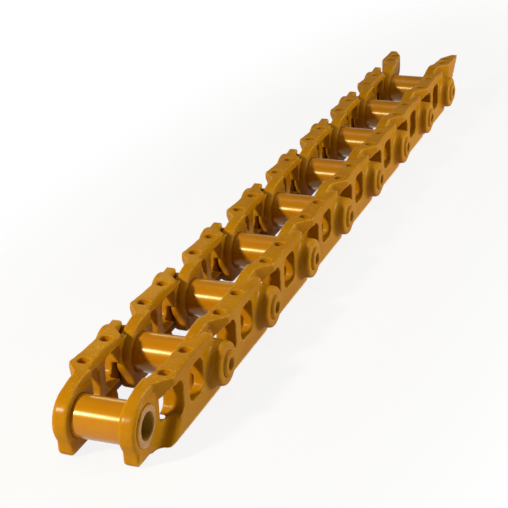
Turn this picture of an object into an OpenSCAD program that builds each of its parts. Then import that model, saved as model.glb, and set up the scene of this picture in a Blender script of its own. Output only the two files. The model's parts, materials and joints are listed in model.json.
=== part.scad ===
// Track chain of a small crawler tractor: paired links hinged on pins and bushings.
// X runs along the chain, Y across it and Z up to the shoe side.
// The origin is the middle of the first bushing, on its axis.

/* [Chain] */
// Distance between neighbouring pin axes
pitch = 155.6; // [152:0.1:172]
// Sections in the row, the last one split for the master joint
sections = 9; // [3:1:9]

/* [Link heights] */
// Pin axis up to the shoe face
shoe_height = 37.7; // [37:0.1:44]
// Pin axis down to the running face of the rail
rail_depth = 41.1; // [39:0.1:46]
// Thickness of the pad under a shoe
pad_t = 10.3; // [8:0.1:11]
// Height of the rail under the windows
rail_t = 26; // [23:0.5:27]

/* [Link widths] */
// Gap between the two links at a bushing
inner_gap = 57.6; // [52:0.2:64]
// Thickness of the link's bushing end
bush_end_t = 19.4; // [17:0.2:22]
// Gap between a bushing end and the pin end beside it
side_gap = 2.4; // [1.8:0.1:3.4]
// Thickness of the link's pin end, boss included
pin_end_t = 28.9; // [26:0.1:34]
// Width of the rail
rail_w = 35.5; // [33:0.1:38]
// Thickness of the web where it stands on the rail
web_t = 26.4; // [22:0.2:27]
// Step from the rail's outer face in to the web
web_step = 0.4; // [0.2:0.1:2]
// Step from the faces of the bushing end in to the neck above it
neck_step = 4; // [2:0.5:5]
// Height of the rail's upright inner side, below its slope
rail_lip = 10; // [8:0.5:12]

/* [Link ends] */
// Radius of the bushing end
bush_end_r = 32; // [30.5:0.1:33]
// Reach of the foot ahead of the bushing axis
foot_reach = 23.5; // [20:0.1:27]
// Corner radius of the foot
foot_r = 9.5; // [7:0.5:10]
// Radius of the pin end at its inner face
pin_end_r = 28; // [27:0.1:30]
// Radius of the pin end's boss at its outer face
pin_boss_r = 25.8; // [23:0.1:27]
// Radius of the hollow that runs from the boss out to the web
scoop_r = 10; // [7:0.5:11]
// Reach of the rail's nose past the pin axis
nose_reach = 15.6; // [13:0.1:18]
// Corner radius of the nose
nose_r = 12; // [9:0.5:13]
// Radius of the hollow between bushing end and foot
ankle_r = 30; // [20:0.5:30]
// Bushing axis to the slanting front edge of the rail
shoulder_reach = 55; // [54:0.5:57]
// Slant of the rail's front edge, in degrees
shoulder_lean = 45; // [42:1:48]
// Radius of the hollow along the rail's front edge
shoulder_r = 9; // [6:0.5:10]
// Drop from the rail's top to the nose
nose_drop = 8; // [6:0.5:9]
// Bushing axis to the end of the foot's inner step
foot_back = 44; // [40:0.5:48]
// Wall between the bushing end's round and the first window
window_wall = 2; // [0.5:0.5:3]
// Radius of the crown from the bushing end up to the shoe face
crown_r = 80; // [60:1:100]
// Radius of the hollow between bushing end and pad
armpit_r = 16; // [12:0.5:16.5]
// Room that is left round swinging ends
swing_gap = 1.4; // [0.8:0.1:2.4]

/* [Pad outline] */
// Front edge of the pad's flare, behind the bushing axis
pad_front = 24; // [22:0.5:28]
// Place where the pad reaches its full width
pad_shoulder = 45; // [41:0.5:48]
// Height of the flare's outer side below the pad
flare_lip = 2.4; // [1:0.1:4]
// Slope of the flare's underside, in degrees
flare_lean = 32; // [28:0.5:36]
// Rear edge of the pad, ahead of the pin axis
pad_rear = 1.6; // [0.5:0.1:4]
// Step from the link's inner face out to the pad's inner edge
pad_inset = 6.6; // [4:0.2:9]
// Step from the rail's outer face in to the pad's outer edge
pad_step = 1.6; // [0:0.1:3]
// Depth of the waist in the pad's outer edge
pad_waist = 3; // [1:0.1:4]
// Depth of the waist on the pad's inner side
pad_inner_waist = 2.6; // [1:0.2:4]
// Length of the waist on the pad's inner side
pad_inner_waist_l = 78; // [70:1:84]
// Length of the recess that clears the next bushing end
pad_notch = 19; // [17:0.5:21]

/* [Blends] */
// Rounding along the rail's running edges
edge_r = 5; // [3:0.5:6]
// Rounding along the lower edges of the foot
foot_edge_r = 8; // [5:0.5:9]
// Rounding of the rims of the round ends
rim_r = 4; // [2:0.5:5]
// Rounding of small corners in plan
corner_r = 3; // [2:0.5:4]
// Rounding of long sweeps in plan
sweep_r = 8; // [6:0.5:9]

/* [Shoe bolts] */
// Diameter of a shoe bolt hole
bolt_hole_d = 15; // [13:0.1:17]
// Bushing axis to the first bolt hole
bolt_x = 51.8; // [50:0.1:54]
// Distance between a link's two bolt holes
bolt_dx = 55.5; // [53:0.1:58]
// Distance between the bolt rows of the two links
bolt_dy = 96.4; // [94:0.1:100]
// Width across the flats of a shoe nut
nut_flat = 25; // [23:0.2:26]
// Width of the strut between the two nut windows
strut_w = 16; // [13:0.5:18]
// Corner radius of the nut windows
window_r = 11; // [8:0.5:12]

/* [Pin and bushing] */
// Diameter of a pin
pin_d = 30; // [28:0.1:32]
// Height that a pin stands out of the boss
pin_proud = 3.4; // [1:0.1:4]
// Diameter of the oil chamber in a pin
chamber_d = 15; // [12:0.5:16]
// Length of the oil chamber
chamber_l = 120; // [90:1:140]
// Diameter of the oil way from the chamber to the bushing
oilway_d = 5; // [3:0.5:6]
// Outer diameter of a bushing
bush_d = 48; // [46:0.1:50]
// Height that a bushing stands out of the bushing end
bush_proud = 1.5; // [0.8:0.1:1.7]
// Chamfer on pins and bushings
edge_chamfer = 1.2; // [0.5:0.1:1.5]

/* [Seals] */
// Depth of the seal's seat in the pin end
seat_depth = 7.5; // [6:0.1:9]
// Radius of the seal's seat
seat_r = 22.5; // [21.5:0.1:23]
// Wall of the thrust ring round the pin
thrust_t = 3.8; // [3:0.1:4]
// Depth of the plug below the pin's end
plug_depth = 10; // [4:0.5:20]
// Length of the plug
plug_l = 12; // [8:0.5:16]

/* [Master joint] */
// Bushing axis to the tip of the split link
master_tip = 110.5; // [108:0.5:116]
// Bushing axis to the joint's lower end
master_toe = 25; // [22:0.5:27]
// Bushing axis to the first master bolt
master_bolt_x = 56; // [54:0.5:58]
// Distance between the two master bolts
master_bolt_dx = 28; // [26:0.5:30]
// Teeth along the joint
master_teeth = 12; // [8:1:16]
// Height of a tooth
tooth_h = 3.2; // [2:0.1:4]
// Width of the split link's tip
tip_w = 9; // [7:0.5:11]
// Wall between a master bolt and the link's inner edge
master_wall = 2.2; // [2:0.1:3]

/* [Fits] */
// Radial gap between a pin and its bushing
run_gap = 0.05; // [0.03:0.01:0.1]
// Radial gap of pressed parts
press_gap = 0.01; // [0.01:0.01:0.02]
// End play between a bushing and the rings beside it
end_play = 0.1; // [0.05:0.05:0.3]
// Radial gap round the rings
ring_gap = 0.1; // [0.05:0.05:0.2]

/* [Hidden] */
joints = sections - 1;
arc_steps = 6;
over = 2;
paint = "#c98512";
steel = "#8d8a84";
rubber = "#2b2723";

// Lateral places, from the chain's middle outwards
y_in = inner_gap / 2;
bush_out = y_in + bush_end_t;
pin_in = bush_out + side_gap;
pin_out = pin_in + pin_end_t;
rail_out = y_in + rail_w;
web_out = rail_out - web_step;
web_in = web_out - web_t;
pad_in = y_in + pad_inset;
pad_out = rail_out - pad_step;
bolt_y = bolt_dy / 2;
neck_in = y_in + neck_step / 2;
neck_out = bush_out - neck_step / 2;
notch_y = bush_out + swing_gap;

// Heights
rail_top = rail_t - rail_depth;
pad_under = shoe_height - pad_t;
nose_top = rail_top - nose_drop;

// Places along the link
nose_x = pitch + nose_reach;
window_front = bush_end_r + window_wall;
strut_front = bolt_x + nut_flat / 2;
strut_back = strut_front + strut_w;
window_back = bolt_x + bolt_dx + nut_flat / 2;
pad_back = pitch - pad_rear;

// Depth by which rounds that run into each other cross
meet = 0.06;

// Depth by which the rail's scoop runs below the foot's outer face
scoop_bite = 0.5;
// Floor of the rail's scoop, and where the rail starts behind it
shoulder_base = bush_out - scoop_bite;
shoulder_start = shoulder_reach - rail_out + shoulder_base - over;

// The crown's arc meets the round of the bushing end and the flat of the pad
crown_z = shoe_height - crown_r;
crown_x = sqrt(pow(crown_r - bush_end_r + meet, 2) - pow(crown_z, 2));

// Room that the nose of the link before needs round the bushing axis
nose_room = norm([nose_reach - nose_r, rail_depth - nose_r]) + nose_r + swing_gap;

// The foot of one link swings into the pocket of the link before it
foot_arm = norm([foot_reach - foot_r, rail_depth - foot_r]) + foot_r;
pocket_r = foot_arm + swing_gap;
socket_r = bush_end_r + swing_gap;

pin_r = pin_d / 2;
bush_r = bush_d / 2;
bush_half = bush_out + bush_proud;
pin_half = pin_out + pin_proud;
seat_floor = pin_in + seat_depth;
ring_face = bush_half + end_play;

// Corner points [x, y, r] turned into an outline with round corners
function heading(v) = v / norm(v);
function flat(p) = [p[0], p[1]];
function arc(mid, from, turn, r) =
    [for (k = [0 : arc_steps])
        let (a = from + turn * k / arc_steps)
        mid + r * [cos(a), sin(a)]];
function corner(a, b, c, r) =
    let (u = heading(a - b), w = heading(c - b))
    let (half = acos(u * w) / 2)
    let (mid = b + heading(u + w) * r / sin(half))
    let (p = b + u * r / tan(half) - mid, q = b + w * r / tan(half) - mid)
    arc(mid, atan2(p.y, p.x), atan2(cross(p, q), p * q), r);
function rounded(pts) =
    let (n = len(pts))
    [for (k = [0 : n - 1])
        each pts[k][2] == 0
            ? [flat(pts[k])]
            : corner(flat(pts[(k + n - 1) % n]), flat(pts[k]), flat(pts[(k + 1) % n]), pts[k][2])];

// A side outline drawn in X and Z, carried across the chain from y0 to y1
module across(y0, y1) {
    translate([0, y1, 0])
        rotate([90, 0, 0])
            linear_extrude(y1 - y0)
                children();
}

// A plan outline drawn in X and Y, carried up from z0 to z1
module upright(z0, z1) {
    translate([0, 0, z0])
        linear_extrude(z1 - z0)
            children();
}

// A round bar or bore along Y
module round_bar(x, y0, y1, r) {
    translate([x, y1, 0])
        rotate([90, 0, 0])
            cylinder(h = y1 - y0, r = r, $fn = 96);
}

// A profile of radius and place across the chain, turned about Y
module turned(x) {
    translate([x, 0, 0])
        rotate([-90, 0, 0])
            rotate_extrude($fn = 96)
                children();
}

// An end outline drawn in Y and Z, carried along the chain from x0 to x1
module lengthwise(x0, x1) {
    translate([x0, 0, 0])
        rotate([90, 0, 90])
            linear_extrude(x1 - x0)
                children();
}

// Foot under the bushing end, as thick as the end itself
module foot() {
    intersection() {
        across(y_in - over, bush_out + over)
            polygon(rounded([
                [-foot_reach, rail_top, 0],
                [-foot_reach, -rail_depth, foot_r],
                [foot_back, -rail_depth, 0],
                [foot_back, rail_top, 0]
            ]));
        upright(-rail_depth - over, rail_top + over)
            polygon(rounded([
                [-foot_reach, y_in, corner_r],
                [-foot_reach, bush_out, corner_r],
                [foot_back, bush_out, 0],
                [foot_back, pad_in, 0],
                [window_front, y_in, sweep_r]
            ]));
        lengthwise(-foot_reach - over, foot_back + over)
            polygon(rounded([
                [y_in, rail_top + over, 0],
                [y_in, -rail_depth, foot_edge_r],
                [bush_out, -rail_depth, foot_edge_r],
                [bush_out, rail_top + over, 0]
            ]));
    }
}

// Scoop that leads from the bushing end's outer face out to the rail's slanting front edge
module shoulder_scoop() {
    front_r = rail_out - shoulder_base - shoulder_r;
    hollow_x = shoulder_reach - front_r - shoulder_r;
    rotate([0, shoulder_lean, 0])
        translate([0, 0, -pitch])
            linear_extrude(2 * pitch)
                polygon(concat(
                    [[0, rail_out + over], [shoulder_reach, rail_out + over]],
                    arc([shoulder_reach, rail_out - front_r], 90, 90, front_r),
                    arc([hollow_x, shoulder_base + shoulder_r], 0, -90, shoulder_r),
                    [[0, shoulder_base]]
                ));
}

// Rail from its scooped shoulder to its nose, sloped on the inner side
module rail() {
    difference() {
        intersection() {
            across(y_in, rail_out + over)
                polygon(rounded([
                    [(shoulder_start + rail_top * sin(shoulder_lean)) / cos(shoulder_lean), rail_top, 0],
                    [(shoulder_start - rail_depth * sin(shoulder_lean)) / cos(shoulder_lean), -rail_depth, 0],
                    [nose_x, -rail_depth, nose_r],
                    [nose_x, nose_top, edge_r],
                    [pitch, rail_top, 0]
                ]));
            upright(-rail_depth - over, rail_top + over)
                polygon(rounded([
                    [0, pad_in, 0],
                    [0, rail_out, 0],
                    [nose_x, rail_out, edge_r],
                    [nose_x, pin_in, corner_r],
                    [pitch - pocket_r + sweep_r, pin_in, edge_r],
                    [pitch - pocket_r - sweep_r, pad_in, sweep_r]
                ]));
            lengthwise(0, nose_x + over)
                polygon(rounded([
                    [pad_in, -rail_depth, edge_r],
                    [rail_out, -rail_depth, edge_r],
                    [rail_out, rail_top, 0],
                    [bush_out, rail_top, 0],
                    [pad_in, -rail_depth + rail_lip, corner_r]
                ]));
        }
        shoulder_scoop();
    }
}

// Bushing end: round eye, hollow above the foot, wall towards the window, crown up to the pad
module bushing_end() {
    ankle_x = -foot_reach - ankle_r;
    ankle = [ankle_x, -sqrt(pow(bush_end_r + ankle_r - meet, 2) - pow(ankle_x, 2))];
    crown_start = atan2(-crown_z, -crown_x);
    turned(0)
        polygon(rounded([
            [0, y_in, 0],
            [bush_end_r, y_in, rim_r],
            [bush_end_r, bush_out, rim_r],
            [0, bush_out, 0]
        ]));
    across(neck_in, neck_out)
        polygon(concat(
            arc(ankle, 0, atan2(-ankle.y, -ankle.x), ankle_r),
            [[0, 0], [0, ankle.y]]
        ));
    across(y_in, bush_out)
        translate([0, rail_top - over])
            square([window_front, pad_under - rail_top]);
    across(neck_in, neck_out)
        polygon(concat(
            arc([crown_x, crown_z], crown_start, 90 - crown_start, crown_r),
            [[window_front, shoe_height], [window_front, 0], [0, 0]]
        ));
}

// Web with the strut between the two nut windows
module web() {
    across(web_in, web_out)
        difference() {
            translate([strut_front - window_r, rail_top - over])
                square([pitch - strut_front + window_r, pad_under - rail_top + 2 * over]);
            polygon(rounded([
                [0, rail_top, 0],
                [strut_front, rail_top, window_r],
                [strut_front, pad_under, window_r],
                [0, pad_under, 0]
            ]));
            polygon(rounded([
                [strut_back, rail_top, window_r],
                [window_back, rail_top, window_r],
                [window_back, pad_under, window_r],
                [strut_back, pad_under, window_r]
            ]));
        }
}

// Leaning hollow along one side of the pad: deepest at (x, y) of the shoe face, gone at the pad's foot
module waist(x, y, half, depth, lean, side) {
    r = (pow(half, 2) + pow(depth, 2)) / (2 * depth);
    translate([x, y, shoe_height])
        rotate([side * lean, 0, 0])
            translate([0, side * r, -2 * pad_t])
                cylinder(h = 4 * pad_t, r = r, $fn = 180);
}

// Root of the pad's flare: hollow towards the first window, sloping up from the bushing end
// to the flare's outer edge, with a flat left for the shoe nut
module flare_root() {
    root_end = window_front + armpit_r;
    root_z = pad_under - armpit_r;
    lip_z = pad_under - flare_lip;
    difference() {
        intersection() {
            across(neck_in, web_out)
                polygon(concat(
                    [[pad_front, pad_under + over], [root_end, pad_under + over]],
                    arc([root_end, root_z], 90, 90, armpit_r),
                    [[pad_front, root_z]]
                ));
            lengthwise(pad_front, root_end + over)
                polygon([
                    [neck_in, pad_under + over],
                    [neck_in, lip_z - (web_out - neck_in) * tan(flare_lean)],
                    [web_out, lip_z],
                    [web_out, pad_under + over]
                ]);
            upright(root_z - over, pad_under + over)
                pad_plan();
        }
        translate([bolt_x, bolt_y, root_z])
            cylinder(h = armpit_r, r = nut_flat / sqrt(3), $fn = 48);
    }
}

// Plan of the pad, from the flare behind the bushing end to the recess at the pin end
module pad_plan() {
    polygon(rounded([
        [pad_front, neck_in, 0],
        [pad_front, neck_out, 0],
        [pad_shoulder, web_out, sweep_r],
        [pad_back, web_out, corner_r],
        [pad_back, notch_y, corner_r],
        [pad_back - pad_notch, notch_y, sweep_r],
        [window_back, pad_in, sweep_r],
        [foot_back, pad_in, sweep_r]
    ]));
}

// Pad that carries the shoe: both sides lean in to a waist at the shoe face
module pad() {
    outer_lean = atan((web_out - pad_out + pad_waist) / pad_t);
    inner_lean = atan(pad_inner_waist / pad_t);
    difference() {
        intersection() {
            upright(pad_under, shoe_height)
                pad_plan();
            lengthwise(0, pitch)
                polygon([
                    [0, pad_under - over],
                    [web_out, pad_under - over],
                    [web_out, pad_under],
                    [pad_out, shoe_height],
                    [0, shoe_height + over]
                ]);
        }
        waist((pad_shoulder + pad_back) / 2, pad_out - pad_waist, (pad_back - pad_shoulder) / 2,
            pad_waist, outer_lean, 1);
        waist(bolt_x + bolt_dx / 2, pad_in + pad_inner_waist, pad_inner_waist_l / 2,
            pad_inner_waist, inner_lean, -1);
    }
}

// Pin end: drafted round boss that hollows out into the web
module pin_end() {
    turned(pitch)
        polygon(rounded([
            [0, pin_in, 0],
            [pin_end_r, pin_in, 0],
            [pin_boss_r, pin_out, rim_r],
            [0, pin_out, 0]
        ]));
    intersection() {
        turned(pitch)
            polygon(concat(
                [[0, pin_in + over], [pin_boss_r + scoop_r, pin_in + over]],
                arc([pin_boss_r + scoop_r, web_out + scoop_r], 270, -90, scoop_r),
                [[0, web_out + scoop_r]]
            ));
        translate([window_back, 0, nose_top])
            cube([pitch - window_back, pin_out, pad_under - nose_top]);
    }
}

// Upright holes through the pad
module bolt_holes(first, step) {
    for (k = [0, 1])
        translate([first + k * step, bolt_y, -rail_depth - over])
            cylinder(h = rail_depth + shoe_height + 2 * over, d = bolt_hole_d, $fn = 48);
}

// One forged link of the left row
module link() {
    color(paint)
        difference() {
            union() {
                foot();
                rail();
                bushing_end();
                web();
                flare_root();
                pad();
                pin_end();
            }
            round_bar(0, y_in - over, bush_out + over, bush_r + press_gap);
            round_bar(pitch, pin_in - over, pin_out + over, pin_r + press_gap);
            round_bar(pitch, pin_in - over, seat_floor, seat_r);
            round_bar(pitch, y_in - over, pin_in, socket_r);
            intersection() {
                round_bar(pitch, y_in - over, pin_in, pocket_r);
                translate([0, 0, -rail_depth - over])
                    cube([nose_x, pin_in, rail_depth + over]);
            }
            intersection() {
                bolt_holes(bolt_x, bolt_dx);
                upright(pad_under - over, shoe_height + over)
                    square([pitch, rail_out]);
            }
        }
}

// Side outline above the toothed joint of the split link
module joint_side() {
    run = [master_toe - master_tip, -rail_depth - shoe_height];
    out = heading([run.y, -run.x]);
    polygon(concat(
        [[-pitch, shoe_height], [master_tip, shoe_height]],
        [for (k = [0 : master_teeth - 1])
            each [
                [master_tip, shoe_height] + run * (k + 0.5) / master_teeth - out * tooth_h,
                [master_tip, shoe_height] + run * (k + 1) / master_teeth
            ]],
        [[-pitch, -rail_depth]]
    ));
}

// Split link: the bushing half of a two-piece master link
module master_half() {
    color(paint)
        difference() {
            intersection() {
                union() {
                    foot();
                    bushing_end();
                    upright(-rail_depth, shoe_height)
                        polygon(rounded([
                            [pad_front, neck_in, 0],
                            [pad_front, neck_out, 0],
                            [pad_shoulder, pad_out, sweep_r],
                            [master_tip + over, pad_out, 0],
                            [master_tip + over, pad_out - tip_w, 0],
                            [master_bolt_x + master_bolt_dx, bolt_y - bolt_hole_d / 2 - master_wall, sweep_r],
                            [foot_back, pad_in, sweep_r]
                        ]));
                }
                across(0, rail_out + over)
                    joint_side();
            }
            round_bar(0, y_in - over, bush_out + over, bush_r + press_gap);
            round_bar(0, bush_out, rail_out + over, pin_end_r + side_gap);
            intersection() {
                round_bar(0, bush_out, rail_out + over, nose_room);
                translate([-pitch, bush_out, -rail_depth - over])
                    cube([2 * pitch, rail_w, rail_depth + over]);
            }
            bolt_holes(master_bolt_x, master_bolt_dx);
        }
}

// Hardened bushing with chamfered ends
module bushing() {
    bore_r = pin_r + run_gap;
    color(paint)
        turned(0)
            polygon([
                [bore_r + edge_chamfer, -bush_half],
                [bush_r - edge_chamfer, -bush_half],
                [bush_r, -bush_half + edge_chamfer],
                [bush_r, bush_half - edge_chamfer],
                [bush_r - edge_chamfer, bush_half],
                [bore_r + edge_chamfer, bush_half],
                [bore_r, bush_half - edge_chamfer],
                [bore_r, -bush_half + edge_chamfer]
            ]);
}

// Pin with an oil chamber, open at the right end
module pin() {
    color(paint)
        difference() {
            turned(pitch)
                polygon([
                    [0, -pin_half],
                    [pin_r - edge_chamfer, -pin_half],
                    [pin_r, -pin_half + edge_chamfer],
                    [pin_r, pin_half - edge_chamfer],
                    [pin_r - edge_chamfer, pin_half],
                    [0, pin_half]
                ]);
            round_bar(pitch, -pin_half - over, chamber_l - pin_half, chamber_d / 2);
            translate([pitch, 0, 0])
                cylinder(h = pin_r + over, d = oilway_d, $fn = 32);
        }
}

// Both halves of a ring pair that seats in the pin ends
module ring_pair(inner, outer) {
    for (side = [0, 1])
        mirror([0, side, 0])
            difference() {
                round_bar(pitch, ring_face, seat_floor, outer);
                round_bar(pitch, ring_face - over, seat_floor + over, inner);
            }
}

// Steel rings that hold the end play
module thrust_rings() {
    color(steel)
        ring_pair(pin_r + ring_gap, pin_r + thrust_t);
}

// Sprung rubber rings that seal against the bushing's ends
module seal_rings() {
    color(rubber)
        ring_pair(pin_r + thrust_t + ring_gap, seat_r - ring_gap);
}

// Rubber plug that closes the oil chamber
module pin_plug() {
    color(rubber)
        round_bar(pitch, plug_depth - pin_half, plug_depth + plug_l - pin_half, chamber_d / 2 - press_gap);
}

// Moves a section's piece to its place in the row
module in_section(i) {
    translate([(i - 1) * pitch, 0, 0])
        children();
}

// The right row mirrors the left one
module right_side() {
    mirror([0, 1, 0])
        children();
}

for (i = [1 : joints]) {
    in_section(i) link();
    in_section(i) right_side() link();
    in_section(i) pin();
    in_section(i) thrust_rings();
    in_section(i) seal_rings();
    in_section(i) pin_plug();
}
for (i = [1 : sections])
    in_section(i) bushing();
in_section(sections) master_half();  // left_master_half
in_section(sections) right_side() master_half();  // right_master_half
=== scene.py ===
import json
import bmesh
import bpy
import numpy as np
from mathutils import Matrix, Vector

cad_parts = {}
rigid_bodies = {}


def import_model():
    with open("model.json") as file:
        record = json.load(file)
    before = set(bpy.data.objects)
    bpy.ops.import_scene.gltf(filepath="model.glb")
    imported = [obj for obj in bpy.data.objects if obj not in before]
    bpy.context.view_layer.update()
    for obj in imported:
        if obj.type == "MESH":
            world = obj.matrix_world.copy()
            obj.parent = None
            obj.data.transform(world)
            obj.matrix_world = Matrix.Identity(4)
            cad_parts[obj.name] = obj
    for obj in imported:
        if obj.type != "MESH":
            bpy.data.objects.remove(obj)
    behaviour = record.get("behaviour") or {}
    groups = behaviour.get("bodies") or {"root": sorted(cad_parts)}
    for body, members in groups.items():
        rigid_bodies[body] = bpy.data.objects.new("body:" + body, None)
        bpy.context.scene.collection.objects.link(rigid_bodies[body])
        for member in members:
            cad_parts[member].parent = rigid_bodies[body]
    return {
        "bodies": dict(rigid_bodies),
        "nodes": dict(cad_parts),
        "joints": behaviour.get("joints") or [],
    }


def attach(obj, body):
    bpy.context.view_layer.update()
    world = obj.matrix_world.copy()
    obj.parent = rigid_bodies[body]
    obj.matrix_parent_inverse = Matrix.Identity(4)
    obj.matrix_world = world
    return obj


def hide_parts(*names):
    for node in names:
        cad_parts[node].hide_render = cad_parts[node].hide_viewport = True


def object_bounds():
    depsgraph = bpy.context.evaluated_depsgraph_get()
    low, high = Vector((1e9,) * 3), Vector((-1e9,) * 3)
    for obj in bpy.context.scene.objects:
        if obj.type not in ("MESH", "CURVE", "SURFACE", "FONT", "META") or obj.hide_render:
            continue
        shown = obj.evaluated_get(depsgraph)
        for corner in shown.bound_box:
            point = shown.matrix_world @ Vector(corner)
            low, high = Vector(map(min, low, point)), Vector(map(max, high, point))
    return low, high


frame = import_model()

cad_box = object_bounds()
scene = bpy.context.scene
scene.view_settings.view_transform = "Standard"

# Camera: stands ahead of the chain's open bushing, to the right of the row and above it,
# and looks along the row with a long lens.
camera_place = Vector((-1.16084, -0.63300, 0.74691))
camera_right = Vector((0.35157, -0.93549, -0.03537))
camera_up = Vector((0.38081, 0.10839, 0.91828))
camera_data = bpy.data.cameras.new("camera")
camera_data.sensor_width = 36.0
camera_data.lens = 100.34
camera_data.clip_end = 60.0
camera = bpy.data.objects.new("camera", camera_data)
camera_turn = Matrix((camera_right, camera_up, camera_right.cross(camera_up))).transposed()
camera.matrix_world = Matrix.Translation(camera_place) @ camera_turn.to_4x4()
scene.collection.objects.link(camera)
scene.camera = camera

# Floor: a plain white sheet under the rails. It lets the white surround through and keeps a light
# shadow of the chain, so that sections that hang below it show. Further out it clears altogether,
# so that no horizon shows.
chain_middle = Vector((0.62, 0.0, 0.0))
floor_half = 7.0
floor_z = cad_box[0][2]
floor_white = (0.8, 0.8, 0.8, 1.0)
shadow_share = 0.13
shadow_reach = 0.9
clear_reach = 2.0
shadow_narrow = 4.0


def math_node(tree, operation, a, b):
    node = tree.nodes.new("ShaderNodeMath")
    node.operation = operation
    for k, value in enumerate((a, b)):
        if isinstance(value, (int, float)):
            node.inputs[k].default_value = value
        else:
            tree.links.new(value, node.inputs[k])
    return node.outputs[0]


def seen_directly(tree, path):
    # What the eye meets straight on, in a gloss or through glass
    seen = math_node(tree, "MAXIMUM", path.outputs["Is Camera Ray"], path.outputs["Is Glossy Ray"])
    return math_node(tree, "MAXIMUM", seen, path.outputs["Is Transmission Ray"])


def mix_shaders(tree, share, first, second, output):
    mix = tree.nodes.new("ShaderNodeMixShader")
    tree.links.new(share, mix.inputs[0])
    tree.links.new(first.outputs[0], mix.inputs[1])
    tree.links.new(second.outputs[0], mix.inputs[2])
    tree.links.new(mix.outputs[0], tree.nodes.new(output).inputs["Surface"])


def floor_paint():
    paint = bpy.data.materials.new("floor white")
    paint.use_nodes = True
    tree = paint.node_tree
    tree.nodes.clear()
    matt = tree.nodes.new("ShaderNodeBsdfDiffuse")
    matt.inputs["Color"].default_value = floor_white
    clear = tree.nodes.new("ShaderNodeBsdfTransparent")
    place = tree.nodes.new("ShaderNodeTexCoord")
    spread = tree.nodes.new("ShaderNodeMapping")
    spread.inputs["Location"].default_value = -chain_middle
    spread.inputs["Scale"].default_value = (1.0, shadow_narrow, 0.0)
    tree.links.new(place.outputs["Object"], spread.inputs["Vector"])
    away = tree.nodes.new("ShaderNodeVectorMath")
    away.operation = "LENGTH"
    tree.links.new(spread.outputs["Vector"], away.inputs[0])
    fade = tree.nodes.new("ShaderNodeMapRange")
    fade.interpolation_type = "SMOOTHSTEP"
    fade.inputs["From Min"].default_value = shadow_reach
    fade.inputs["From Max"].default_value = clear_reach
    fade.inputs["To Min"].default_value = 1.0 - shadow_share
    tree.links.new(away.outputs["Value"], fade.inputs["Value"])
    path = tree.nodes.new("ShaderNodeLightPath")
    share = math_node(tree, "MULTIPLY", seen_directly(tree, path), fade.outputs["Result"])
    share = math_node(tree, "MAXIMUM", share, path.outputs["Is Shadow Ray"])
    mix_shaders(tree, share, matt, clear, "ShaderNodeOutputMaterial")
    return paint


floor_corners = [(x * floor_half, y * floor_half, floor_z)
                 for x, y in ((-1, -1), (1, -1), (1, 1), (-1, 1))]
floor_mesh = bpy.data.meshes.new("floor")
floor_mesh.from_pydata(floor_corners, [], [(0, 1, 2, 3)])
floor_mesh.materials.append(floor_paint())
floor = bpy.data.objects.new("floor", floor_mesh)
scene.collection.objects.link(floor)

# Surround: white round the horizon and dim overhead, like a studio with pale walls and a dark
# ceiling. The white is for the eye and for reflections, and only the dim light falls on the chain.
surround_tint = (0.92, 1.0, 0.88, 1.0)
surround_level = 0.09
wall_white = (1.0, 1.0, 1.0, 1.0)
wall_top = 0.12
ceiling_edge = 0.40


def surround_world():
    world = bpy.data.worlds.new("surround")
    world.use_nodes = True
    tree = world.node_tree
    tree.nodes.clear()
    dim = tree.nodes.new("ShaderNodeBackground")
    dim.inputs["Color"].default_value = surround_tint
    dim.inputs["Strength"].default_value = surround_level
    white = tree.nodes.new("ShaderNodeBackground")
    white.inputs["Color"].default_value = wall_white
    white.inputs["Strength"].default_value = 1.0
    way = tree.nodes.new("ShaderNodeTexCoord")
    height = tree.nodes.new("ShaderNodeSeparateXYZ")
    tree.links.new(way.outputs["Generated"], height.inputs[0])
    wall = tree.nodes.new("ShaderNodeMapRange")
    wall.inputs["From Min"].default_value = ceiling_edge
    wall.inputs["From Max"].default_value = wall_top
    tree.links.new(height.outputs["Z"], wall.inputs["Value"])
    path = tree.nodes.new("ShaderNodeLightPath")
    share = math_node(tree, "MULTIPLY", seen_directly(tree, path), wall.outputs["Result"])
    mix_shaders(tree, share, dim, white, "ShaderNodeOutputWorld")
    return world


scene.world = surround_world()


# Lamps: a small key lamp ahead of the chain and to its left, which draws the bright line on
# each bushing, a soft lamp on the right, a wide one overhead and a weak one behind for the pads.
def area_lamp(name, towards, distance, size, watts, colour):
    data = bpy.data.lights.new(name, "AREA")
    data.shape = "DISK"
    data.size = size
    data.energy = watts
    data.color = colour
    lamp = bpy.data.objects.new(name, data)
    reach = Vector(towards).normalized()
    turn = reach.to_track_quat("Z", "Y").to_matrix().to_4x4()
    lamp.matrix_world = Matrix.Translation(chain_middle + reach * distance) @ turn
    scene.collection.objects.link(lamp)


area_lamp("key", towards=(-0.795, 0.393, 0.465), distance=2.29, size=0.19, watts=38.0,
          colour=(1.0, 0.89, 0.68))
area_lamp("side", towards=(0.35, -0.90, 0.17), distance=2.6, size=1.0, watts=45.0,
          colour=(1.0, 0.93, 0.76))
area_lamp("top", towards=(0.10, 0.0, 1.0), distance=2.8, size=2.0, watts=18.0,
          colour=(1.0, 0.93, 0.80))
area_lamp("back", towards=(0.75, 0.48, 0.42), distance=3.0, size=0.6, watts=5.0,
          colour=(1.0, 0.78, 0.30))

# Link: one steel forging, S-shaped in plan, with an eye for the bushing, two nut windows, a pad
# for the shoe and a boss for the pin. Drop-forged, drilled, bored and sprayed amber all over.
sections = len(frame["bodies"])
pitch = frame["joints"][0]["pos_m"][0]
link_voxel = 0.0013
link_draw_passes = 8
link_keep = 0.55
weld_gap = 1e-6


def merged_copy(node):
    mesh = frame["nodes"][node].data.copy()
    shell = bmesh.new()
    shell.from_mesh(mesh)
    bmesh.ops.remove_doubles(shell, verts=shell.verts, dist=weld_gap)
    shell.to_mesh(mesh)
    shell.free()
    mesh.materials.clear()
    return mesh


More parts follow.
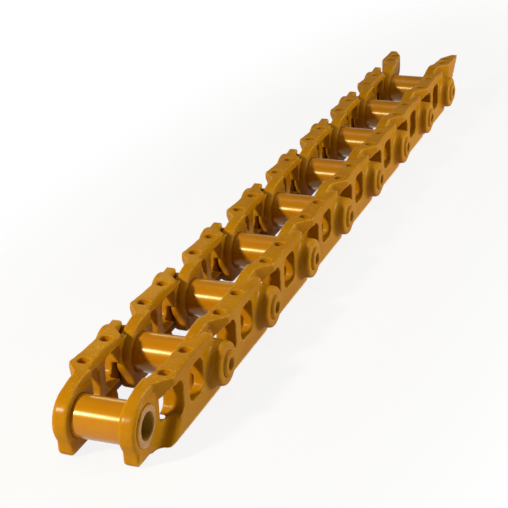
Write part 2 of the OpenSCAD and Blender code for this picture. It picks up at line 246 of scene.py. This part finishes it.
def plain_mesh(holder):
    graph = bpy.context.evaluated_depsgraph_get()
    mesh = bpy.data.meshes.new_from_object(holder.evaluated_get(graph))
    bpy.data.objects.remove(holder)
    return mesh


def mark_edges(mesh, reach):
    # Stores how far each point stands out of its surroundings or lies back in them, and whether
    # it faces up to the shoes
    draw_passes = 6
    upper_from = 0.7
    upper_full = 0.95
    count = len(mesh.vertices)
    place = np.empty(count * 3)
    mesh.vertices.foreach_get("co", place)
    place = place.reshape(-1, 3)
    normal = np.empty(count * 3)
    mesh.vertex_normals.foreach_get("vector", normal)
    normal = normal.reshape(-1, 3)
    pairs = np.empty(len(mesh.edges) * 2, dtype=int)
    mesh.edges.foreach_get("vertices", pairs)
    a, b = pairs.reshape(-1, 2).T
    degree = np.bincount(a, minlength=count) + np.bincount(b, minlength=count)
    degree = np.maximum(degree, 1)[:, None]

    def around(value):
        total = np.zeros_like(value)
        np.add.at(total, a, value[b])
        np.add.at(total, b, value[a])
        return total / degree

    drawn = place.copy()
    for _ in range(draw_passes):
        drawn = (drawn + around(drawn)) / 2
    stand = ((place - drawn) * normal).sum(1, keepdims=True) / reach
    stand = (stand + around(stand)) / 2
    upper = (normal[:, 2:] - upper_from) / (upper_full - upper_from)
    for name, value in (("edge", stand), ("hollow", -stand), ("upper", upper)):
        layer = mesh.attributes.new(name, "FLOAT", "POINT")
        layer.data.foreach_set("value", np.clip(value[:, 0], 0.0, 1.0).astype(np.float32))


def forge(node, voxel, passes, keep):
    # The solid's skin re-meshed, its edges drawn round as the die leaves them, then thinned
    holder = bpy.data.objects.new(node + "_blank", merged_copy(node))
    scene.collection.objects.link(holder)
    skin = holder.modifiers.new("skin", "REMESH")
    skin.mode = "VOXEL"
    skin.voxel_size = voxel
    skin.use_smooth_shade = True
    draw = holder.modifiers.new("draw", "SMOOTH")
    draw.factor = 0.5
    draw.iterations = passes
    thin = holder.modifiers.new("thin", "DECIMATE")
    thin.ratio = keep
    mesh = plain_mesh(holder)
    mesh.shade_smooth()
    mark_edges(mesh, voxel)
    return mesh


def row_tree():
    # One piece of the chain, set out along the row by its section and side
    tree = bpy.data.node_groups.new("place in row", "GeometryNodeTree")
    tree.interface.new_socket("Geometry", in_out="OUTPUT", socket_type="NodeSocketGeometry")
    for label, kind in (("Piece", "NodeSocketObject"), ("Pitch", "NodeSocketFloat"),
                        ("Steps", "NodeSocketInt"), ("Side", "NodeSocketFloat"),
                        ("Finish", "NodeSocketMaterial")):
        tree.interface.new_socket(label, in_out="INPUT", socket_type=kind)
    given = tree.nodes.new("NodeGroupInput")
    piece = tree.nodes.new("GeometryNodeObjectInfo")
    piece.inputs["As Instance"].default_value = True
    tree.links.new(given.outputs["Piece"], piece.inputs["Object"])
    move = tree.nodes.new("ShaderNodeCombineXYZ")
    along = math_node(tree, "MULTIPLY", given.outputs["Pitch"], given.outputs["Steps"])
    tree.links.new(along, move.inputs["X"])
    hand = tree.nodes.new("ShaderNodeCombineXYZ")
    hand.inputs["X"].default_value = 1.0
    hand.inputs["Z"].default_value = 1.0
    tree.links.new(given.outputs["Side"], hand.inputs["Y"])
    place = tree.nodes.new("GeometryNodeTransform")
    tree.links.new(piece.outputs["Geometry"], place.inputs["Geometry"])
    tree.links.new(move.outputs[0], place.inputs["Translation"])
    tree.links.new(hand.outputs[0], place.inputs["Scale"])
    real = tree.nodes.new("GeometryNodeRealizeInstances")
    tree.links.new(place.outputs[0], real.inputs[0])
    coat = tree.nodes.new("GeometryNodeSetMaterial")
    tree.links.new(real.outputs[0], coat.inputs["Geometry"])
    tree.links.new(given.outputs["Finish"], coat.inputs["Material"])
    result = tree.nodes.new("NodeGroupOutput")
    tree.links.new(coat.outputs[0], result.inputs[0])
    return tree


row = row_tree()
row_sockets = {item.name: item.identifier for item in row.interface.items_tree}


def outward(mesh):
    # Turns the faces out again after a mirrored copy
    shell = bmesh.new()
    shell.from_mesh(mesh)
    if shell.calc_volume(signed=True) < 0.0:
        bmesh.ops.reverse_faces(shell, faces=shell.faces)
    shell.to_mesh(mesh)
    shell.free()


def set_in_row(piece, name, steps, side, finish, body, node):
    holder = bpy.data.objects.new(name + "_holder", bpy.data.meshes.new(name + "_holder"))
    scene.collection.objects.link(holder)
    nodes = holder.modifiers.new("row", "NODES")
    nodes.node_group = row
    for socket, value in (("Piece", piece), ("Pitch", pitch), ("Steps", steps),
                          ("Side", float(side)), ("Finish", finish)):
        nodes[row_sockets[socket]] = value
    mesh = plain_mesh(holder)
    outward(mesh)
    mesh.name = name
    placed = bpy.data.objects.new(name, mesh)
    scene.collection.objects.link(placed)
    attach(placed, body)
    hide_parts(node)


def socket_group(name, inputs, outputs):
    group = bpy.data.node_groups.new(name, "ShaderNodeTree")
    for label, kind, value in inputs:
        socket = group.interface.new_socket(label, in_out="INPUT", socket_type=kind)
        socket.default_value = value
    for label, kind in outputs:
        group.interface.new_socket(label, in_out="OUTPUT", socket_type=kind)
    return group, group.nodes.new("NodeGroupInput"), group.nodes.new("NodeGroupOutput")


def noise_node(tree, scale, detail, roughness=0.5):
    place = tree.nodes.new("ShaderNodeTexCoord")
    node = tree.nodes.new("ShaderNodeTexNoise")
    node.inputs["Detail"].default_value = detail
    node.inputs["Roughness"].default_value = roughness
    tree.links.new(place.outputs["Object"], node.inputs["Vector"])
    if isinstance(scale, (int, float)):
        node.inputs["Scale"].default_value = scale
    else:
        tree.links.new(scale, node.inputs["Scale"])
    return node.outputs["Fac"]


def ramp_node(tree, value, low, high):
    node = tree.nodes.new("ShaderNodeMapRange")
    node.interpolation_type = "SMOOTHSTEP"
    node.inputs["From Min"].default_value = low
    node.inputs["From Max"].default_value = high
    tree.links.new(value, node.inputs["Value"])
    return node.outputs["Result"]


def mix_colour(tree, share, a, b):
    node = tree.nodes.new("ShaderNodeMix")
    node.data_type = "RGBA"
    for socket, value in (("Factor", share), ("A", a), ("B", b)):
        target = next(s for s in node.inputs if s.name == socket and s.enabled)
        if isinstance(value, tuple):
            target.default_value = value
        else:
            tree.links.new(value, target)
    return next(s for s in node.outputs if s.enabled)


def stored_layer(tree, name):
    node = tree.nodes.new("ShaderNodeAttribute")
    node.attribute_name = name
    return node.outputs["Fac"]


def forged_skin_group():
    # Scale pits and the slow waves of a hammered surface under sprayed enamel
    fine_depth = 0.35
    pit_depth = 0.4
    tree, given, result = socket_group(
        "forged skin",
        [("Grain", "NodeSocketFloat", 420.0), ("Waves", "NodeSocketFloat", 45.0),
         ("Pits", "NodeSocketFloat", 1.0)],
        [("Height", "NodeSocketFloat"), ("Pitting", "NodeSocketFloat")])
    waves = noise_node(tree, given.outputs["Waves"], detail=3.0)
    grain = noise_node(tree, given.outputs["Grain"], detail=4.0, roughness=0.6)
    pits = ramp_node(tree, grain, low=0.56, high=0.74)
    pitting = math_node(tree, "MULTIPLY", pits, given.outputs["Pits"])
    height = math_node(tree, "ADD", waves, math_node(tree, "MULTIPLY", grain, fine_depth))
    height = math_node(tree, "SUBTRACT", height, math_node(tree, "MULTIPLY", pitting, pit_depth))
    tree.links.new(height, result.inputs["Height"])
    tree.links.new(pitting, result.inputs["Pitting"])
    return tree


def edge_glint_and_hollow_shade_group():
    # Lighter along edges, a painted highlight standing in for glints with some rubbed paint, and
    # darker in hollows, a painted shade
    breakup_gain = 2.0
    tree, given, result = socket_group(
        "edge glint and hollow shade",
        [("Rub", "NodeSocketFloat", 1.0), ("Dirt", "NodeSocketFloat", 1.0)],
        [("Rubbed", "NodeSocketFloat"), ("Dirty", "NodeSocketFloat")])
    for layer, strength, output, low, high, grain in (
            ("edge", "Rub", "Rubbed", 0.10, 0.50, 260.0),
            ("hollow", "Dirt", "Dirty", 0.04, 0.40, 130.0)):
        breakup = noise_node(tree, grain, detail=5.0, roughness=0.65)
        breakup = math_node(tree, "MULTIPLY", breakup, breakup_gain)
        level = math_node(tree, "MULTIPLY", stored_layer(tree, layer), breakup)
        mask = ramp_node(tree, level, low, high)
        mask = math_node(tree, "MULTIPLY", mask, given.outputs[strength])
        tree.links.new(mask, result.inputs[output])
    return tree


def glint_fleck_group():
    # Painted highlight: bright flecks standing in for glints off coarse grain, on the faces that
    # carry the shoes
    tree, given, result = socket_group(
        "painted glint flecks",
        [("Flecks", "NodeSocketFloat", 1.0)], [("GlintFlecked", "NodeSocketFloat")])
    patch = ramp_node(tree, noise_node(tree, 60.0, detail=2.0), low=0.40, high=0.62)
    glint_spot = ramp_node(tree, noise_node(tree, 520.0, detail=2.0, roughness=0.6), low=0.58, high=0.68)
    mask = math_node(tree, "MULTIPLY", glint_spot, patch)
    mask = math_node(tree, "MULTIPLY", mask, stored_layer(tree, "upper"))
    mask = math_node(tree, "MULTIPLY", mask, given.outputs["Flecks"])
    tree.links.new(mask, result.inputs["GlintFlecked"])
    return tree


def enamel_group():
    # Sprayed enamel: slow drift of tone between thin and thick coats, with fine mottling
    drift_share = 0.65
    tree, given, result = socket_group(
        "enamel tone",
        [("Thin", "NodeSocketColor", (0.60, 0.28, 0.02, 1.0)),
         ("Thick", "NodeSocketColor", (0.50, 0.20, 0.01, 1.0)),
         ("WornAndGlint", "NodeSocketColor", (0.85, 0.57, 0.10, 1.0)),
         ("ShadeTone", "NodeSocketColor", (0.13, 0.06, 0.01, 1.0)),
         ("Rubbed", "NodeSocketFloat", 0.0), ("Dirty", "NodeSocketFloat", 0.0),
         ("GlintFlecked", "NodeSocketFloat", 0.0)],
        [("Color", "NodeSocketColor")])
    drift = ramp_node(tree, noise_node(tree, 16.0, detail=3.0), low=0.30, high=0.70)
    mottle = noise_node(tree, 240.0, detail=3.0, roughness=0.6)
    share = math_node(tree, "ADD", math_node(tree, "MULTIPLY", drift, drift_share),
                      math_node(tree, "MULTIPLY", mottle, 1.0 - drift_share))
    tone = mix_colour(tree, share, given.outputs["Thin"], given.outputs["Thick"])
    # Painted shade: the hollows darken towards a dark tone
    tone = mix_colour(tree, given.outputs["Dirty"], tone, given.outputs["ShadeTone"])
    # Painted highlight: edges and flecks lighten towards the glint tone; on the edges part of it is
    # rubbed paint
    bright = math_node(tree, "MAXIMUM", given.outputs["Rubbed"], given.outputs["GlintFlecked"])
    tone = mix_colour(tree, bright, tone, given.outputs["WornAndGlint"])
    tree.links.new(tone, result.inputs["Color"])
    return tree


forged_skin = forged_skin_group()
edge_glint_and_hollow_shade = edge_glint_and_hollow_shade_group()
painted_glint_flecks = glint_fleck_group()
enamel_tone = enamel_group()
gleam_tint = (1.0, 0.92, 0.16, 1.0)
gleam_spread = 1.2


def use_group(tree, group, **values):
    node = tree.nodes.new("ShaderNodeGroup")
    node.node_tree = group
    for label, value in values.items():
        node.inputs[label].default_value = value
    return node


def raise_grain(tree, skin, depth, shader):
    relief = tree.nodes.new("ShaderNodeBump")
    relief.inputs["Distance"].default_value = depth
    tree.links.new(skin.outputs["Height"], relief.inputs["Height"])
    tree.links.new(relief.outputs["Normal"], shader.inputs["Normal"])


def amber_enamel(name, thin, thick, grain, waves, pits, bump,
                 gleam, gloss, film, rub_and_glint, hollow_shade, glint_flecks):
    # Pigment with a golden gleam under a clear film, which is dull in the hollows under the painted
    # shade
    paint = bpy.data.materials.new(name)
    paint.use_nodes = True
    tree = paint.node_tree
    shader = tree.nodes["Principled BSDF"]
    skin = use_group(tree, forged_skin, Grain=grain, Waves=waves, Pits=pits)
    edge_and_hollow = use_group(tree, edge_glint_and_hollow_shade, Rub=rub_and_glint, Dirt=hollow_shade)
    face = use_group(tree, painted_glint_flecks, Flecks=glint_flecks)
    tone = use_group(tree, enamel_tone, Thin=thin, Thick=thick)
    tree.links.new(edge_and_hollow.outputs["Rubbed"], tone.inputs["Rubbed"])
    tree.links.new(edge_and_hollow.outputs["Dirty"], tone.inputs["Dirty"])
    tree.links.new(face.outputs["GlintFlecked"], tone.inputs["GlintFlecked"])
    tree.links.new(tone.outputs["Color"], shader.inputs["Base Color"])
    raise_grain(tree, skin, bump, shader)
    shader.inputs["Roughness"].default_value = film * gleam_spread
    shader.inputs["Specular IOR Level"].default_value = gleam
    shader.inputs["Specular Tint"].default_value = gleam_tint
    # The film is dulled where shade is painted into the hollows
    unshaded = math_node(tree, "SUBTRACT", 1.0, edge_and_hollow.outputs["Dirty"])
    tree.links.new(math_node(tree, "MULTIPLY", unshaded, gloss), shader.inputs["Coat Weight"])
    shader.inputs["Coat Roughness"].default_value = film
    return paint


# Links: strong painted highlight on edges and in flecks, and painted shade in the hollows
link_enamel = amber_enamel(
    "link enamel", thin=(0.53, 0.243, 0.004, 1.0), thick=(0.46, 0.182, 0.001, 1.0),
    grain=420.0, waves=45.0, pits=1.0, bump=0.0009,
    gleam=0.0, gloss=0.18, film=0.24, rub_and_glint=0.9, hollow_shade=0.9, glint_flecks=0.5)
link_blank = bpy.data.objects.new(
    "link_blank", forge("left_link_1", link_voxel, link_draw_passes, link_keep))
for step in range(sections - 1):
    for side, hand in ((1, "left"), (-1, "right")):
        set_in_row(link_blank, f"{hand}_forging_{step + 1}", step, side, link_enamel,
                   f"section_{step + 1}", f"{hand}_link_{step + 1}")

# Split link: the bushing half of the two-piece master link. It ends in a slanting saw-toothed
# face that the other half bolts against; two bolts pass upright through the teeth.
split_voxel = 0.0011
split_draw_passes = 4

split_mesh = forge("left_master_half", split_voxel, split_draw_passes, link_keep)
split_mesh.transform(Matrix.Translation((-(sections - 1) * pitch, 0.0, 0.0)))
split_blank = bpy.data.objects.new("split_link_blank", split_mesh)
for side, hand in ((1, "left"), (-1, "right")):
    set_in_row(split_blank, f"{hand}_split_forging", sections - 1, side, link_enamel,
               f"section_{sections}", f"{hand}_master_half")


# Bushing: a hardened steel tube, turned and ground, pressed into the eyes of two links and
# painted with them, so that its smooth barrel carries one sharp bright line. Painted shade darkens
# its bore, and its end faces a little.
def turned_size(node, axis_x):
    # Outer radius, bore radius and half length of a turned solid, from its own points
    points = np.array([point.co for point in frame["nodes"][node].data.vertices])
    radius = np.hypot(points[:, 0] - axis_x, points[:, 2])
    return radius.max(), radius.min(), np.abs(points[:, 1]).max()


barrel_r, barrel_bore_r, barrel_half = turned_size("bushing_1", axis_x=0.0)
turn_steps = 144
barrel_chamfer = 0.0012
barrel_end = 0.006
barrel_ease = 0.0006
turned_reach = 0.0006
# Share of painted shade in the bore and on the end faces
bore_shade = 1.0
end_shade = 0.2


def turned_mesh(name, profile, steps):
    # Carries a closed outline of radius and place round the Y axis
    turned_weld = 1e-7
    angle = np.linspace(0.0, 2.0 * np.pi, steps, endpoint=False)
    points = [(r * np.cos(t), y, r * np.sin(t)) for r, y in profile for t in angle]
    count = len(profile)
    faces = []
    for k in range(count):
        for s in range(steps):
            n = (s + 1) % steps
            m = (k + 1) % count
            faces.append((k * steps + s, k * steps + n, m * steps + n, m * steps + s))
    mesh = bpy.data.meshes.new(name)
    mesh.from_pydata(points, [], faces)
    shell = bmesh.new()
    shell.from_mesh(mesh)
    bmesh.ops.remove_doubles(shell, verts=shell.verts, dist=turned_weld)
    bmesh.ops.dissolve_degenerate(shell, edges=shell.edges, dist=turned_weld)
    bmesh.ops.recalc_face_normals(shell, faces=shell.faces)
    shell.to_mesh(mesh)
    shell.free()
    mesh.shade_smooth()
    mark_edges(mesh, turned_reach)
    return mesh


def eased(profile, ease):
    # Rounds each corner of a closed outline by a short arc, within its share of each side
    side_share = 0.45
    steps = 4
    points = [Vector(p) for p in profile]
    result = []
    for k, corner in enumerate(points):
        before = points[k - 1] - corner
        after = points[(k + 1) % len(points)] - corner
        reach = min(ease, before.length * side_share, after.length * side_share)
        start = corner + before.normalized() * reach
        end = corner + after.normalized() * reach
        for s in range(steps + 1):
            t = s / steps
            result.append((1 - t) ** 2 * start + 2 * t * (1 - t) * corner + t ** 2 * end)
    return [(p.x, p.y) for p in result]


bushing_outline = eased([
    (barrel_bore_r + barrel_chamfer, -barrel_half),
    (barrel_r - barrel_chamfer, -barrel_half),
    (barrel_r, -barrel_half + barrel_chamfer),
    (barrel_r, -barrel_half + barrel_end),
    (barrel_r, barrel_half - barrel_end),
    (barrel_r, barrel_half - barrel_chamfer),
    (barrel_r - barrel_chamfer, barrel_half),
    (barrel_bore_r + barrel_chamfer, barrel_half),
    (barrel_bore_r, barrel_half - barrel_chamfer),
    (barrel_bore_r, -barrel_half + barrel_chamfer)], barrel_ease)
bushing_mesh = turned_mesh("bushing_blank", bushing_outline, turn_steps)
# Painted shade: the bore takes the full dark tone of the hollows, the end faces a little of it
for point, layer in zip(bushing_mesh.vertices, bushing_mesh.attributes["hollow"].data):
    if Vector((point.co.x, point.co.z)).length < barrel_bore_r + barrel_chamfer / 2:
        layer.value = bore_shade
    elif abs(point.co.y) > barrel_half - barrel_chamfer / 4:
        layer.value = end_shade
bushing_blank = bpy.data.objects.new("bushing_blank", bushing_mesh)
bushing_enamel = amber_enamel(
    "bushing enamel", thin=(0.54, 0.215, 0.0005, 1.0), thick=(0.49, 0.185, 0.0003, 1.0),
    grain=900.0, waves=60.0, pits=0.3, bump=0.00008,
    gleam=0.32, gloss=0.40, film=0.22, rub_and_glint=0.3, hollow_shade=0.8, glint_flecks=0.0)
for step in range(sections):
    set_in_row(bushing_blank, f"bushing_barrel_{step + 1}", step, 1, bushing_enamel,
               f"section_{step + 1}", f"bushing_{step + 1}")

# Pin: a hardened steel bar, ground to run in the bushing and pressed into the bosses. It is
# drilled from the right end as an oil chamber, and its ends are painted with the links.
pin_r, _, pin_half = turned_size("pin_1", axis_x=pitch)
pin_chamfer = 0.0012
pin_ease = 0.0005
chamber_r = 0.0075
chamber_depth = 0.120
chamber_chamfer = 0.00072
chamber_floor = chamber_depth - pin_half

pin_outline = eased([
    (0.0, chamber_floor),
    (chamber_r, chamber_floor),
    (chamber_r, -pin_half + chamber_chamfer),
    (chamber_r + chamber_chamfer, -pin_half),
    (pin_r - pin_chamfer, -pin_half),
    (pin_r, -pin_half + pin_chamfer),
    (pin_r, pin_half - pin_chamfer),
    (pin_r - pin_chamfer, pin_half),
    (0.0, pin_half)], pin_ease)
pin_outline = [(max(r, 0.0), y) for r, y in pin_outline]
pin_mesh = turned_mesh("pin_blank", pin_outline, turn_steps)
pin_mesh.transform(Matrix.Translation((pitch, 0.0, 0.0)))
pin_blank = bpy.data.objects.new("pin_blank", pin_mesh)
pin_enamel = amber_enamel(
    "pin enamel", thin=(0.52, 0.225, 0.008, 1.0), thick=(0.45, 0.18, 0.004, 1.0),
    grain=800.0, waves=70.0, pits=0.4, bump=0.00012,
    gleam=0.0, gloss=0.15, film=0.24, rub_and_glint=0.4, hollow_shade=0.6, glint_flecks=0.0)
for step in range(sections - 1):
    set_in_row(pin_blank, f"pin_bar_{step + 1}", step, 1, pin_enamel,
               f"section_{step + 1}", f"pin_{step + 1}")

# Thrust rings, seal rings and plugs: ground steel rings that hold the end play, rubber rings that
# close the joint against dirt, and a rubber plug in the pin's oil chamber. They keep the solids'
# own shapes and carry no paint.
ring_waves = 180.0
ring_pits = 0.5
ring_pit_dull = 0.2


def ring_finish(name, dark, light, metal, shine, grain, bump):
    finish = bpy.data.materials.new(name)
    finish.use_nodes = True
    tree = finish.node_tree
    shader = tree.nodes["Principled BSDF"]
    skin = use_group(tree, forged_skin, Grain=grain, Waves=ring_waves, Pits=ring_pits)
    tone = mix_colour(tree, skin.outputs["Height"], dark, light)
    tree.links.new(tone, shader.inputs["Base Color"])
    dull = math_node(tree, "MULTIPLY", skin.outputs["Pitting"], ring_pit_dull)
    tree.links.new(math_node(tree, "ADD", shine, dull), shader.inputs["Roughness"])
    raise_grain(tree, skin, bump, shader)
    shader.inputs["Metallic"].default_value = metal
    return finish


ring_finishes = {
    "thrust_rings": ring_finish(
        "ground steel", dark=(0.30, 0.29, 0.28, 1.0), light=(0.46, 0.45, 0.43, 1.0),
        metal=1.0, shine=0.32, grain=1400.0, bump=0.00005),
    "seal_rings": ring_finish(
        "seal rubber", dark=(0.018, 0.017, 0.016, 1.0), light=(0.040, 0.037, 0.034, 1.0),
        metal=0.0, shine=0.62, grain=1100.0, bump=0.00010),
    "pin_plug": ring_finish(
        "plug rubber", dark=(0.030, 0.022, 0.012, 1.0), light=(0.075, 0.050, 0.022, 1.0),
        metal=0.0, shine=0.55, grain=900.0, bump=0.00015),
}
for step in range(sections - 1):
    for kind, finish in ring_finishes.items():
        slots = frame["nodes"][f"{kind}_{step + 1}"].data.materials
        slots.clear()
        slots.append(finish)

for blank in (link_blank, split_blank, bushing_blank, pin_blank):
    bpy.data.objects.remove(blank)
